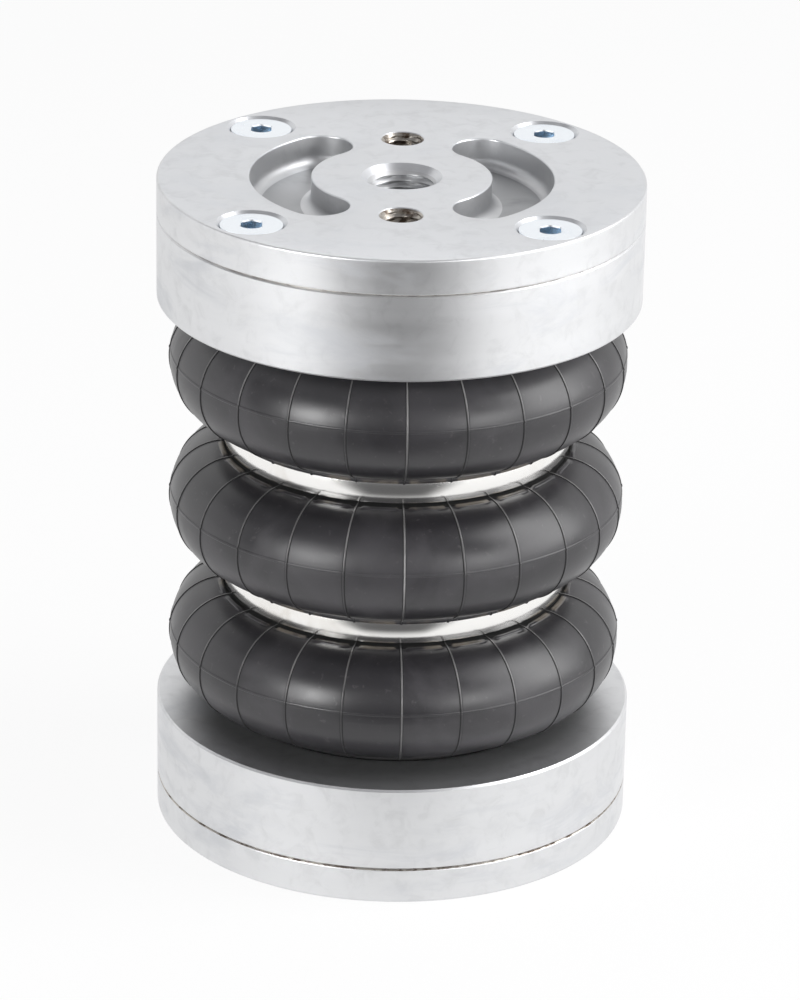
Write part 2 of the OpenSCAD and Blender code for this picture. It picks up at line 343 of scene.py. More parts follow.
def smudges(tree, size, start, full, flatness=1.0):
    """Share of a smudge; a larger size value makes finer clouds."""
    inputs = {"Size": size, "Flatness": flatness, "Start": start, "Full": full}
    return add(tree, "ShaderNodeGroup", inputs, node_tree=HANDLING_MARKS).outputs["Smudge"]


def grain(tree, fineness):
    """Height of the fine grain."""
    return add(tree, "ShaderNodeGroup", {"Fineness": fineness}, node_tree=FINE_GRAIN).outputs["Height"]


def cover_share(tree, attribute):
    """A share that is kept with the cover's mesh."""
    return add(tree, "ShaderNodeAttribute", attribute_name=attribute).outputs["Fac"]


def new_material(name, constants):
    """A material with its Principled shader, whose plain values are set on the shader's own sockets."""
    material = bpy.data.materials.new(name)
    material.use_nodes = True
    tree = material.node_tree
    shader = tree.nodes["Principled BSDF"]
    for label, value in constants.items():
        shader.inputs[label].default_value = value
    return material, tree, shader


def feed(tree, shader, colour, roughness):
    """Links a colour and a roughness that change over the surface."""
    tree.links.new(colour, shader.inputs["Base Color"])
    tree.links.new(roughness, shader.inputs["Roughness"])


def emboss(tree, shader, height, strength, distance):
    """Bump from a height that runs from 0 to 1."""
    bump = add(tree, "ShaderNodeBump", {"Height": height, "Strength": strength, "Distance": distance})
    tree.links.new(bump.outputs["Normal"], shader.inputs["Normal"])


# Finishes, with their colours as linear values

# Shares of the turned aluminium's colour that its dull streaks and its mottling keep, and how much rougher
# a smudge makes it
STREAK_TONE = 0.95
MOTTLE_TONE = 0.88
SMUDGE_ROUGHNESS = 0.12
BARE_THREAD = (0.48, 0.45, 0.41)
DRIED_OIL = (0.12, 0.09, 0.07)
CLEAN_STEEL = (0.92, 0.91, 0.89)
DULL_STEEL = (0.78, 0.75, 0.7)
CLEAN_RUBBER = (0.018, 0.017, 0.0195)
BLOOMED_RUBBER = (0.036, 0.034, 0.038)
SPECKED_RUBBER = (0.05, 0.047, 0.05)
# Painted shade in the waists, the clamps and along the foot of a rib
PAINTED_SHADE_RUBBER = (0.006, 0.006, 0.006)
# Pale rib crests: wear and a painted highlight
WORN_AND_HIGHLIT_RUBBER = (0.24, 0.235, 0.235)
DUST = (0.15, 0.13, 0.105)
MATT_ROUGHNESS = 0.5
# Least share of the crests' wear and painted highlight, where the rubber has no bloom
LEAST_WEAR_AND_HIGHLIGHT = 0.35
INNER_RUBBER = (0.012, 0.012, 0.013)
TALC = (0.05, 0.05, 0.05)
CORD_DARK = (0.1, 0.085, 0.06)
CORD_LIGHT = (0.36, 0.3, 0.2)
BRONZE_DARK = (0.42, 0.32, 0.2)
BRONZE_LIGHT = (0.6, 0.48, 0.32)


def turned_aluminium(name, colour, smudge_colour, roughness, marks, flatness):
    """Lathe-turned aluminium: feed lines, brighter and duller streaks, mottling and smudges."""
    material, tree, shader = new_material(name, {"Metallic": 1.0})
    turned = turning(tree, fineness=5000.0)
    streak = turned["Streak"]
    smudge = smudges(tree, size=45.0, start=0.48, full=0.78, flatness=flatness)
    mottling = smudges(tree, size=260.0, start=0.45, full=0.75)
    streaked = tint(tree, streak, tuple(STREAK_TONE * c for c in colour), colour)
    mottled = tint(tree, mottling, streaked, tuple(MOTTLE_TONE * c for c in colour))
    clean_roughness = between(tree, streak, *roughness)
    rough = maths(tree, "MULTIPLY_ADD", smudge, SMUDGE_ROUGHNESS, clean_roughness)
    feed(tree, shader, tint(tree, smudge, mottled, smudge_colour), rough)
    emboss(tree, shader, turned["Height"], strength=marks, distance=0.01 * MM)
    return material


def milled_aluminium(name, colour, smudge_colour):
    """Milled aluminium: finer and duller than the turned faces."""
    material, tree, shader = new_material(name, {"Metallic": 1.0})
    smudge = smudges(tree, size=90.0, start=0.45, full=0.8)
    smudged = tint(tree, smudge, colour, smudge_colour)
    feed(tree, shader, smudged, between(tree, smudge, low=0.44, high=0.54))
    emboss(tree, shader, grain(tree, fineness=2600.0), strength=0.25, distance=0.01 * MM)
    return material


def oiled_aluminium():
    """Threads and joints, darkened by oil that has dried in them."""
    material, tree, shader = new_material("oiled_aluminium", {"Metallic": 1.0})
    oil = smudges(tree, size=350.0, start=0.45, full=0.62)
    feed(tree, shader, tint(tree, oil, BARE_THREAD, DRIED_OIL), between(tree, oil, low=0.28, high=0.5))
    return material


def zinc_plating(name, colour, smudge_colour):
    """Zinc plating with a bluish passivated skin."""
    material, tree, shader = new_material(name, {"Metallic": 1.0})
    smudge = smudges(tree, size=160.0, start=0.5, full=0.8)
    smudged = tint(tree, smudge, colour, smudge_colour)
    feed(tree, shader, smudged, between(tree, smudge, low=0.24, high=0.34))
    emboss(tree, shader, grain(tree, fineness=1800.0), strength=0.08, distance=0.01 * MM)
    return material


def polished_steel():
    """Polished steel hoop with fine scratches along its length and a few dull clouds."""
    material, tree, shader = new_material("polished_steel", {"Metallic": 1.0})
    drawn = turning(tree, fineness=9000.0)
    smudge = smudges(tree, size=70.0, start=0.5, full=0.8)
    colour = tint(tree, smudge, CLEAN_STEEL, DULL_STEEL)
    feed(tree, shader, colour, between(tree, smudge, low=0.16, high=0.24))
    emboss(tree, shader, drawn["Height"], strength=0.12, distance=0.005 * MM)
    return material


def cover_rubber():
    """Black moulded rubber: fine grain, bloom in clouds, specks, rough places darkened by painted shade,
    ribs pale with wear and a painted highlight, and dusty edges.
    """
    material, tree, shader = new_material("cover_rubber", {"Specular IOR Level": 0.65})
    bloom = smudges(tree, size=60.0, start=0.4, full=0.7)
    specks = smudges(tree, size=700.0, start=0.6, full=0.74)
    settled = smudges(tree, size=42.0, start=0.47, full=0.58)
    # Painted shade darkens the rough rubber in the waists, the clamps and along the foot of a rib
    matt_painted_shade = cover_share(tree, MATT_PAINTED_SHADE)
    # The pale rib crests are wear and a painted highlight, varied by the bloom's clouds
    scuffed_and_highlit = between(tree, bloom, low=LEAST_WEAR_AND_HIGHLIGHT, high=1.0)
    worn_and_highlit = maths(tree, "MULTIPLY", cover_share(tree, RIB_WEAR_AND_HIGHLIGHT), scuffed_and_highlit)
    dusty = maths(tree, "MULTIPLY", cover_share(tree, HOOP_DUST), settled)
    colour = tint(tree, bloom, CLEAN_RUBBER, BLOOMED_RUBBER)
    for share, tone in ((specks, SPECKED_RUBBER), (matt_painted_shade, PAINTED_SHADE_RUBBER), (worn_and_highlit, WORN_AND_HIGHLIT_RUBBER), (dusty, DUST)):
        colour = tint(tree, share, colour, tone)
    rough = maths(tree, "MULTIPLY_ADD", matt_painted_shade, MATT_ROUGHNESS, between(tree, bloom, low=0.32, high=0.44))
    feed(tree, shader, colour, rough)
    emboss(tree, shader, grain(tree, fineness=1600.0), strength=0.3, distance=0.03 * MM)
    return material


def liner_rubber():
    """Rubber of the inside, with the talc of the mould in clouds."""
    material, tree, shader = new_material("liner_rubber", {"Specular IOR Level": 0.4})
    talc = smudges(tree, size=55.0, start=0.42, full=0.7)
    feed(tree, shader, tint(tree, talc, INNER_RUBBER, TALC), between(tree, talc, low=0.5, high=0.75))
    emboss(tree, shader, grain(tree, fineness=900.0), strength=0.3, distance=0.04 * MM)
    return material


def cord_fabric():
    """Rubbered cords that cross the axis at a slant."""
    material, tree, shader = new_material("cord_fabric", {"Roughness": 0.8})
    split = split_place(tree)
    turn = maths(tree, "ARCTAN2", split["Y"], split["X"])
    arc_length = maths(tree, "MULTIPLY", turn, BELLOWS_R)
    unrolled = add(tree, "ShaderNodeCombineXYZ", {"X": arc_length, "Y": split["Z"]})
    cords = add(
        tree, "ShaderNodeTexWave",
        {"Vector": unrolled.outputs["Vector"], "Scale": 320.0, "Distortion": 0.4, "Detail": 1.0},
        bands_direction="DIAGONAL",
    ).outputs["Fac"]
    tree.links.new(tint(tree, cords, CORD_DARK, CORD_LIGHT), shader.inputs["Base Color"])
    emboss(tree, shader, cords, strength=0.6, distance=0.2 * MM)
    return material


def wire_steel():
    """Bronze-coated bead wire with its drawing lines."""
    material, tree, shader = new_material("wire_steel", {"Metallic": 1.0})
    drawn = turning(tree, fineness=6000.0, streaks=900.0)
    streak = drawn["Streak"]
    colour = tint(tree, streak, BRONZE_DARK, BRONZE_LIGHT)
    feed(tree, shader, colour, between(tree, streak, low=0.3, high=0.45))
    emboss(tree, shader, drawn["Height"], strength=0.2, distance=0.01 * MM)
    return material


TURNED_FACE = turned_aluminium(
    "turned_face", colour=(0.73, 0.74, 0.76), smudge_colour=(0.68, 0.695, 0.72),
    roughness=(0.34, 0.4), marks=0.12, flatness=1.0,
)
TURNED_WALL = turned_aluminium(
    "turned_wall", colour=(0.75, 0.755, 0.765), smudge_colour=(0.62, 0.63, 0.65),
    roughness=(0.4, 0.46), marks=0.06, flatness=3.0,
)
MILLED_WALL = milled_aluminium(
    "milled_wall", colour=(0.6, 0.605, 0.615), smudge_colour=(0.5, 0.505, 0.515)
)
# Painted shade: a darker copy of the milled walls for the pocket floors
SHADED_MILLED_FLOOR = milled_aluminium(
    "milled_floor_painted_shade", colour=(0.4, 0.405, 0.415), smudge_colour=(0.3, 0.305, 0.315)
)
OILED = oiled_aluminium()
ZINC = zinc_plating("bright_zinc", colour=(0.9, 0.94, 0.98), smudge_colour=(0.82, 0.88, 0.95))
# Painted shade: a darker copy of the bright zinc for the hexagon sockets
SHADED_SOCKET_ZINC = zinc_plating("socket_zinc_painted_shade", colour=(0.56, 0.65, 0.73), smudge_colour=(0.44, 0.54, 0.63))
HOOP_STEEL = polished_steel()
COVER_RUBBER = cover_rubber()
LINER_RUBBER = liner_rubber()
CORD_FABRIC = cord_fabric()
WIRE_STEEL = wire_steel()


# Mesh work

def heading(angle):
    return Vector((math.cos(angle), math.sin(angle)))


def clamped(share):
    return min(1, max(0, share))


def arc(centre, radius, start, end, step):
    """Points of an arc, no further apart than step."""
    count = max(1, math.ceil(abs(end - start) / step))
    return [centre + radius * heading(start + (end - start) * i / count) for i in range(count + 1)]


def close_up(bm, mesh):
    """Fills the mesh from the bmesh, with its faces turned outwards."""
    bmesh.ops.recalc_face_normals(bm, faces=bm.faces)
    bm.to_mesh(mesh)
    bm.free()


def set_piece(mesh, name, finishes, sharp_angle):
    """A mesh as an object with its finishes, smooth up to the sharp angle."""
    for finish in finishes:
        mesh.materials.append(finish)
    mesh.set_sharp_from_angle(angle=sharp_angle)
    piece = bpy.data.objects.new(name, mesh)
    bpy.context.scene.collection.objects.link(piece)
    return piece


# The bellows: each layer of each convolution in two halves that meet at its widest line

# Round that a flank runs into: its middle, from the convolution's widest line, its radius and its end's gap
Bend = namedtuple("Bend", "middle radius gap")
WAIST = Bend(Vector((HOOP_MID_R, PITCH / 2)), GROOVE_R, LAYER_GAP)
CLAMP = Bend(
    Vector((NECK_R + SOFT_GAP + LIP_R, LOWER_NOSE_Z - RING_TOP + LIP_R)), LIP_R + SOFT_GAP, 0
)
# A point of a section: its place, the way it faces, its share of a rib, the height of an unbroken line
# and of a broken band that stand on it, and its share of dust
SkinPoint = namedtuple("SkinPoint", "place facing rib line band dust")
# Shares of a raised line's half width at which its section has points
TO_MIDDLE = (-1, -0.9, -0.7, -0.35, 0)
PAST_MIDDLE = (0.35, 0.7, 0.9, 1)
# Largest turn between two points of a convolution's nose
NOSE_STEP = math.radians(3)
ROUND_STEP = math.radians(12)
LAYER_STEP = math.radians(6)
LAYER_COLUMNS = 120
RUBBER_SHARP = math.radians(50)


def flank_angle(bend):
    line = bend.middle - NOSE_MID
    return math.atan2(line.y, line.x) - math.acos((NOSE_R + bend.radius) / line.length)


def end_angle(bend, depth):
    return math.asin(bend.gap / 2 / (bend.radius + depth))


def half_line(bend, depth):
    """Line at a depth under the outer surface, from the widest line to the end of the bend."""
    turn = flank_angle(bend)
    nose = arc(NOSE_MID, NOSE_R - depth, 0, turn, LAYER_STEP)
    return nose + arc(bend.middle, -(bend.radius + depth), turn, end_angle(bend, depth), ROUND_STEP)


def rounded(distance, half_width):
    """Height share of a half-round line at a distance from its middle."""
    share = min(1, abs(distance) / half_width)
    return math.sqrt(1 - share * share)


def filled(angles):
    """The angles with more between them where they are further apart than the nose's step."""
    full = angles[:1]
    for first, last in zip(angles, angles[1:]):
        count = math.ceil((last - first) / NOSE_STEP)
        full += [first + (last - first) * i / count for i in range(1, count + 1)]
    return full


def cover_line(bend, side):
    """Outer surface of half a convolution with its mould lines, from the widest line to the bend's end."""
    turn = flank_angle(bend)
    nose_end = turn * NOSE_R
    start = NOSE_MID + NOSE_R * heading(turn)
    end = bend.middle - bend.radius * heading(turn)
    flank = end - start
    edge_half_w = BAND_HALF_W if side > 0 else LAP_HALF_W

    def skin_point(place, facing, rib, past_nose, parting=0):
        """A point at a distance past the end of the nose, where a band or a lap runs beside the hoop."""
        share = rounded(past_nose, edge_half_w) if bend is WAIST else 0
        if side > 0:
            return SkinPoint(place, facing, rib, parting, share * BAND_H, share)
        return SkinPoint(place, facing, rib, share * LAP_H, 0, share)

    marks = [0]
    if side > 0:
        marks += [PARTING_RISE + share * PARTING_HALF_W for share in TO_MIDDLE + PAST_MIDDLE]
    marks += [nose_end + share * edge_half_w for share in TO_MIDDLE]
    line = []
    for angle in filled([mark / NOSE_R for mark in marks]):
        along = angle * NOSE_R
        parting = PARTING_H * rounded(along - PARTING_RISE, PARTING_HALF_W) if side > 0 else 0
        line.append(skin_point(NOSE_MID + NOSE_R * heading(angle), angle, 1, along - nose_end, parting))
    for step in [share * edge_half_w for share in PAST_MIDDLE] + [flank.length / 2]:
        share = step / flank.length
        line.append(skin_point(start + flank * share, turn, 1 - share, step))
    stop = end_angle(bend, 0)
    count = math.ceil((turn - stop) / ROUND_STEP)
    for i in range(count + 1):
        facing = turn + (stop - turn) * i / count
        line.append(SkinPoint(bend.middle - bend.radius * heading(facing), facing, 0, 0, 0, 0))
    return line


def at_height(z):
    """Distance of a height of the lower end from the lower convolution's widest line."""
    return LOWER_NOSE_Z - z


def bead_point(radius, z):
    return Vector((radius, at_height(z)))


def cover_bead():
    """Rest of the cover's section at a clamp, from the throat round the bead to the inside of the ply."""
    wire = bead_point(WIRE_MID_R, WIRE_Z)
    wire_turn = math.acos((WIRE_COVER_R - LAYER_GAP) / WIRE_COVER_R)
    hook_turn = math.acos(HOOK_R / (HOOK_R + LAYER_GAP))
    outside = [
        bead_point(NECK_R, NECK_Z),
        bead_point(BEAD_R, SHOULDER_Z),
        bead_point(BEAD_R, BEAD_Z),
        bead_point(WIRE_MID_R - HOOK_R, BEAD_Z),
    ]
    round_hook = arc(wire, HOOK_R + LAYER_GAP, math.pi - hook_turn, 0, ROUND_STEP)
    round_turn_up = [
        bead_point(TURN_UP_R + LAYER_GAP, TURN_UP_Z + LAYER_GAP),
        bead_point(WIRE_MID_R + WIRE_COVER_R - LAYER_GAP, TURN_UP_Z + LAYER_GAP),
    ]
    round_wire = arc(wire, WIRE_COVER_R, -wire_turn, wire_turn - math.pi, ROUND_STEP)
    return outside + round_hook + round_turn_up + round_wire


def ply_hook():
    """Rest of the ply's section at a clamp, turned up round the bead wire."""
    wire = bead_point(WIRE_MID_R, WIRE_Z)
    inside = arc(wire, WIRE_COVER_R, math.pi, 0, ROUND_STEP)
    end = [bead_point(WIRE_MID_R + WIRE_COVER_R, TURN_UP_Z), bead_point(TURN_UP_R, TURN_UP_Z)]
    return inside + end + arc(wire, HOOK_R, 0, math.pi, ROUND_STEP)


def liner_foot():
    return [bead_point(NECK_R - LINER_DEPTH, BEAD_Z), bead_point(NECK_R - WALL_T, BEAD_Z)]


def rib_columns():
    """Angles of the columns of points: close together across a rib, wider apart between ribs."""
    rib = [share * RIB_HALF_W / BELLOWS_R for share in RIB_COLUMNS]
    broken = [BAND_END / BELLOWS_R, BAND_FULL / BELLOWS_R]
    first, last = broken[-1], RIB_SPACING - broken[-1]
    plain = [first + (last - first) * i / PANEL_PARTS for i in range(1, PANEL_PARTS)]
    panel = rib + broken + plain + [RIB_SPACING - turn for turn in reversed(broken)]
    return [FIRST_RIB + RIB_SPACING * i + turn for i in range(RIB_COUNT) for turn in panel]


def from_rib(angle):
    """Distance round the widest line from the nearest rib."""
    turn = (angle - FIRST_RIB + RIB_SPACING / 2) % RIB_SPACING - RIB_SPACING / 2
    return abs(turn) * BELLOWS_R


def raised_by(point, angle):
    """How far a point of the cover is raised at an angle round the axis, and its share of dust there."""
    away = from_rib(angle)
    rib = point.rib * RIB_H * rounded(away, RIB_HALF_W)
    whole = clamped((away - BAND_END) / (BAND_FULL - BAND_END))
    return max(rib + point.line, whole * point.band), whole * point.dust


def wear_and_highlight_share(point, angle, side):
    """Wear and a painted highlight on the crest of a rib: on its upper part, and nearly all along on the
    front rib and the one opposite.
    """
    if from_rib(angle) > CREST_SHARE * RIB_HALF_W:
        return 0
    rise = side * point.facing
    nearest = round((angle - FIRST_RIB) / RIB_SPACING) % RIB_COUNT
    # The front rib and the one opposite are painted pale nearly all along as a highlight
    if nearest in HIGHLIT_RIBS:
        return point.rib * clamped(1 + rise / HIGHLIT_RIBS_FADE)
    return point.rib * clamped((rise - WEAR_AND_HIGHLIGHT_FROM) / (WEAR_AND_HIGHLIGHT_FULL - WEAR_AND_HIGHLIGHT_FROM))


def matt_painted_shade_share(point, angle):
    """1 past the nose and along the foot of a rib, where the rubber is rough and darkened by painted shade;
    0 on the rest of the nose.
    """
    foot = FOOT_START < from_rib(angle) / RIB_HALF_W < FOOT_END
    return 1 if foot or point.rib < 1 else 0


def revolved(name, section, columns, nose_z, side, finish):
    """A closed section turned about the axis; it goes up from nose_z for a side of 1, and down for -1."""
    verts, dust, worn_and_highlit, matt_painted_shade = [], [], [], []
    for point in section:
        out = heading(point.facing)
        for angle in columns:
            raised, dusty = raised_by(point, angle)
            place = point.place + raised * out
            dust.append(dusty)
            worn_and_highlit.append(wear_and_highlight_share(point, angle, side))
            matt_painted_shade.append(matt_painted_shade_share(point, angle))
            verts.append((place.x * math.cos(angle), place.x * math.sin(angle), nose_z + side * place.y))
    width = len(columns)
    faces = []
    for i in range(len(section)):
        row, next_row = i * width, (i + 1) % len(section) * width
        for j in range(width):
            k = (j + 1) % width
            faces.append((row + j, row + k, next_row + k, next_row + j))
    mesh = bpy.data.meshes.new(name)
    mesh.from_pydata(verts, [], faces)
    bm = bmesh.new()
    bm.from_mesh(mesh)
    close_up(bm, mesh)
    for attribute, shares in ((HOOP_DUST, dust), (RIB_WEAR_AND_HIGHLIGHT, worn_and_highlit), (MATT_PAINTED_SHADE, matt_painted_shade)):
        mesh.attributes.new(attribute, "FLOAT", "POINT").data.foreach_set("value", shares)
    return set_piece(mesh, name, [finish], RUBBER_SHARP)


def plain_points(places):
    return [SkinPoint(place, 0, 0, 0, 0, 0) for place in places]


def cover_section(bend, side):
    inside = half_line(bend, COVER_T)
    bead = cover_bead() if bend is CLAMP else []
    return cover_line(bend, side) + plain_points(bead + inside[::-1])


def ply_section(bend):
    outside, inside = half_line(bend, PLY_DEPTH), half_line(bend, PLY_DEPTH + PLY_T)
    hook = ply_hook() if bend is CLAMP else []
    return plain_points(outside + hook + inside[::-1])


def liner_section(bend):
    outside, inside = half_line(bend, LINER_DEPTH), half_line(bend, WALL_T)
    foot = liner_foot() if bend is CLAMP else []
    return plain_points(outside + foot + inside[::-1])


def bellows_half(convolution, half, bend, nose_z, side):
    """The three layers of one half, shaped round the bend where it meets a hoop or a clamp."""
    even = [FULL_TURN * i / LAYER_COLUMNS for i in range(LAYER_COLUMNS)]
    layers = (
        ("cover", cover_section(bend, side), rib_columns(), COVER_RUBBER, "cover_rubber"),
        ("cord_ply", ply_section(bend), even, CORD_FABRIC, "cord_fabric"),
        ("liner", liner_section(bend), even, LINER_RUBBER, "liner_rubber"),
    )
    # The wall is held by the hoop's groove, or by the clamp ring's face
    for layer, section, columns, finish, slot in layers:
        piece = revolved(f"{convolution}_{layer}_{half}_half", section, columns, nose_z, side, finish)
        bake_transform(piece)
        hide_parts(f"{convolution}_{layer}")


def bellows():
    for convolution, nose_z, below, above, lower_bend, upper_bend in (
        ("lower", LOWER_NOSE_Z, "base", "lower_hoop", CLAMP, WAIST),
        ("middle", MIDDLE_Z, "lower_hoop", "upper_hoop", WAIST, WAIST),
        ("upper", MIDDLE_Z + PITCH, "upper_hoop", "top", WAIST, CLAMP),
    ):
        bellows_half(convolution, "lower", lower_bend, nose_z, -1)
        bellows_half(convolution, "upper", upper_bend, nose_z, 1)


# End plates and screws, drawn with their outer face at depth 0 and built as stacks of closed loops

AXIS = Vector((0, 0))
PLATE_COLUMNS = 192
HOLE_COLUMNS = 48
HOLE_ROWS_PER_TURN = 8
SCREW_ROWS_PER_TURN = 4
ROUND_PARTS = 3
COVE_PARTS = 6
POCKET_PARTS = 40
POCKET_END_PARTS = 20
ROUND_ANGLES = [RIGHT_ANGLE * i / ROUND_PARTS for i in range(ROUND_PARTS + 1)]
PLATE_SHARP = math.radians(40)
SCREW_SHARP = math.radians(30)
PLATE_FINISHES = [TURNED_FACE, TURNED_WALL, MILLED_WALL, SHADED_MILLED_FLOOR, OILED]
FACE, RIM, CUT, SHADED_FLOOR, DARKENED = range(len(PLATE_FINISHES))
# The sockets take the zinc that is darkened as painted shade
SCREW_FINISHES = [ZINC, SHADED_SOCKET_ZINC]
SHANK, SHADED_SOCKET = range(len(SCREW_FINISHES))
# Oil has dried on this many bands of the rim, in the joint with the ring
JOINT_BANDS = 2


def circle_loop(middle, radius, depth, count):
    """A loop round a middle; radius is a length or a function of the angle."""
    loop = []
    for i in range(count):
        angle = FULL_TURN * i / count
        reach = radius(angle) if callable(radius) else radius
        loop.append(Vector((middle.x + reach * math.cos(angle), middle.y + reach * math.sin(angle), depth)))
    return loop


def circle_loops(middle, sizes, count):
    """Loops round a middle, one for each pair of radius and depth."""
    return [circle_loop(middle, radius, depth, count) for radius, depth in sizes]


def thread_wave(turns):
    """Share of a thread groove's depth: a V with a narrow flat at its crest."""
    share = 1 - abs(2 * (turns % 1) - 1)
    return max(0, (share - THREAD_FLAT) / (1 - THREAD_FLAT))


def skin(bm, loops, *finishes):
    """Bands from loop to loop, the last finish on all that remain; gives the points of both end loops."""
    rows = [[bm.verts.new(place) for place in loop] for loop in loops]
    for band, (row, following) in enumerate(zip(rows, rows[1:])):
        for i in range(len(row)):
            k = (i + 1) % len(row)
            face = bm.faces.new((row[i], row[k], following[k], following[i]))
            face.material_index = finishes[min(band, len(finishes) - 1)]
            face.smooth = True
    return rows[0], rows[-1]


def flat_fill(bm, loops, finish):
    """A flat face between loops that lie in one plane: the first is its rim, the others are holes in it."""
    edges = [bm.edges.get((loop[i], loop[i - 1])) for loop in loops for i in range(len(loop))]
    made = bmesh.ops.triangle_fill(bm, use_beauty=True, use_dissolve=False, edges=edges, normal=(0, 0, 1))
    for face in (item for item in made["geom"] if isinstance(item, bmesh.types.BMFace)):
        face.material_index = finish
        face.smooth = False


def point_cap(bm, row, depth, finish):
    """A cone that closes a loop of points at its middle."""
    middle = sum((vert.co for vert in row), Vector()) / len(row)
    tip = bm.verts.new((middle.x, middle.y, depth))
    for i in range(len(row)):
        face = bm.faces.new((row[i - 1], row[i], tip))
        face.material_index = finish
        face.smooth = True


def pocket_loop(turn, offset, depth):
    """Kidney outline of a pocket, moved outwards by offset."""
    half_w = POCKET_HALF_W + offset
    loop = []
    for side in (1, -1):
        sweep_r = POCKET_MID_R + side * half_w
        for i in range(POCKET_PARTS):
            angle = side * POCKET_HALF_ANGLE * (2 * i / POCKET_PARTS - 1)
            loop.append(sweep_r * heading(turn + angle))
        end_middle = POCKET_MID_R * heading(turn + side * POCKET_HALF_ANGLE)
        end_start = side * POCKET_HALF_ANGLE + (0 if side > 0 else math.pi)
        for i in range(POCKET_END_PARTS):
            angle = end_start + math.pi * i / POCKET_END_PARTS
            loop.append(end_middle + half_w * heading(turn + angle))
    return [Vector((place.x, place.y, depth)) for place in loop]


def pocket(bm, turn):
    """A milled pocket with a broken edge and a cove round its floor; gives the loop at the plate's face."""
    mouth = [
        pocket_loop(turn, POCKET_ROUND * (1 - math.sin(a)), POCKET_ROUND * (1 - math.cos(a)))
        for a in ROUND_ANGLES
    ]
    cove_start = POCKET_DEPTH - POCKET_FILLET
    wall = [pocket_loop(turn, 0, depth) for depth in (POCKET_ROUND + EDGE_HOLD, cove_start - EDGE_HOLD)]
    cove = []
    for i in range(COVE_PARTS + 1):
        angle = RIGHT_ANGLE * i / COVE_PARTS
        inset = POCKET_FILLET * (1 - math.cos(angle))
        cove.append(pocket_loop(turn, -inset, cove_start + POCKET_FILLET * math.sin(angle)))
    first, last = skin(bm, mouth + wall + cove, *[FACE] * (len(mouth) - 1), CUT)
    # The pocket's floor takes the milled finish darkened as painted shade
    flat_fill(bm, [last], SHADED_FLOOR)
    return first


def tapped_hole(bm, middle, thread, finish):
    """A threaded wall under a bright chamfered mouth; gives the first and last loop."""
    rows = math.ceil(thread.depth / thread.pitch * HOLE_ROWS_PER_TURN)
    loops = []
    for row in range(rows + 1):
        depth = thread.depth * row / rows

        def radius(angle):
            groove = thread.groove * thread_wave(depth / thread.pitch - angle / FULL_TURN)
            return max(thread.mouth_r - depth, thread.core_r + groove)

        loops.append(circle_loop(middle, radius, depth, HOLE_COLUMNS))
    chamfer_bands = int((thread.mouth_r - thread.core_r - thread.groove) / thread.depth * rows)
    return skin(bm, loops, *[FACE] * chamfer_bands, finish)


def mounting_hole(bm, side):
    """A blind tapped hole that ends in a drill point."""
    first, last = tapped_hole(bm, Vector((0, side * MOUNT_REACH)), MOUNT, DARKENED)
    point_cap(bm, last, MOUNT.depth + MOUNT.core_r / math.tan(DRILL_HALF_ANGLE), DARKENED)
    return first


def screw_place(i):
    return SCREW_RING_R * heading(FIRST_SCREW + FULL_TURN * i / SCREW_COUNT)


def countersunk_hole(bm, i):
    """A screw's hole through the plate; gives the loops at both faces."""
    sizes = ((COUNTERSINK_R, 0), (SCREW_HOLE_R, COUNTERSINK_R - SCREW_HOLE_R), (SCREW_HOLE_R, PLATE_T))
    return skin(bm, circle_loops(screw_place(i), sizes, HOLE_COLUMNS), FACE)


def end_piece(bm, end, name, finishes, sharp_angle):
    """What is drawn from its outer face, as a piece at that end of the part."""
    if end == "upper":
        bm.transform(Matrix.Translation((0, 0, HEIGHT)) @ Matrix.Scale(-1, 4, Vector((0, 0, 1))))
    mesh = bpy.data.meshes.new(name)
    close_up(bm, mesh)
    return set_piece(mesh, name, finishes, sharp_angle)


def end_plate(end, body):
    """A turned and milled plate; the air port is only in the upper one."""
    bm = bmesh.new()
    straight_r = END_R - RIM_ROUND
    rim = [(straight_r + RIM_ROUND * math.sin(a), RIM_ROUND * (1 - math.cos(a))) for a in ROUND_ANGLES]
    rim += [(END_R, RIM_ROUND + EDGE_HOLD), (END_R, PLATE_T - RIM_ROUND - EDGE_HOLD)]
    rim += [
        (straight_r + RIM_ROUND * math.cos(a), PLATE_T - RIM_ROUND * (1 - math.sin(a)))
        for a in ROUND_ANGLES
    ]
    rim_finishes = [RIM] * (len(rim) - 1 - JOINT_BANDS) + [DARKENED]
    spigot = ((SPIGOT_R, PLATE_T), (SPIGOT_R, SPIGOT_END - RIM_ROUND), (SPIGOT_R - RIM_ROUND, SPIGOT_END))
    face_rim, seat_rim = skin(bm, circle_loops(AXIS, rim, PLATE_COLUMNS), *rim_finishes)
    spigot_foot, spigot_rim = skin(bm, circle_loops(AXIS, spigot, PLATE_COLUMNS), FACE)
    screw_loops = [countersunk_hole(bm, i) for i in range(SCREW_COUNT)]
    face_loops = [pocket(bm, turn) for turn in (0, math.pi)]
    face_loops += [mounting_hole(bm, side) for side in (-1, 1)]
    face_loops += [face_loop for face_loop, seat_loop in screw_loops]
    inner_loops = []
    if end == "upper":
        port_mouth, port_end = tapped_hole(bm, AXIS, PORT, CUT)
        face_loops.append(port_mouth)
        inner_loops.append(port_end)
    flat_fill(bm, [face_rim] + face_loops, FACE)
    flat_fill(bm, [seat_rim, spigot_foot] + [seat_loop for face_loop, seat_loop in screw_loops], FACE)
    flat_fill(bm, [spigot_rim] + inner_loops, FACE)
    piece = end_piece(bm, end, f"{end}_turned_plate", PLATE_FINISHES, PLATE_SHARP)
    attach(piece, body)
    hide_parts(f"{end}_end_plate")


def hexagon(angle):
    """Radius of the hexagon socket at an angle."""
    sixth = FULL_TURN / 6
    return SOCKET_AF / 2 / math.cos((angle + sixth / 2) % sixth - sixth / 2)


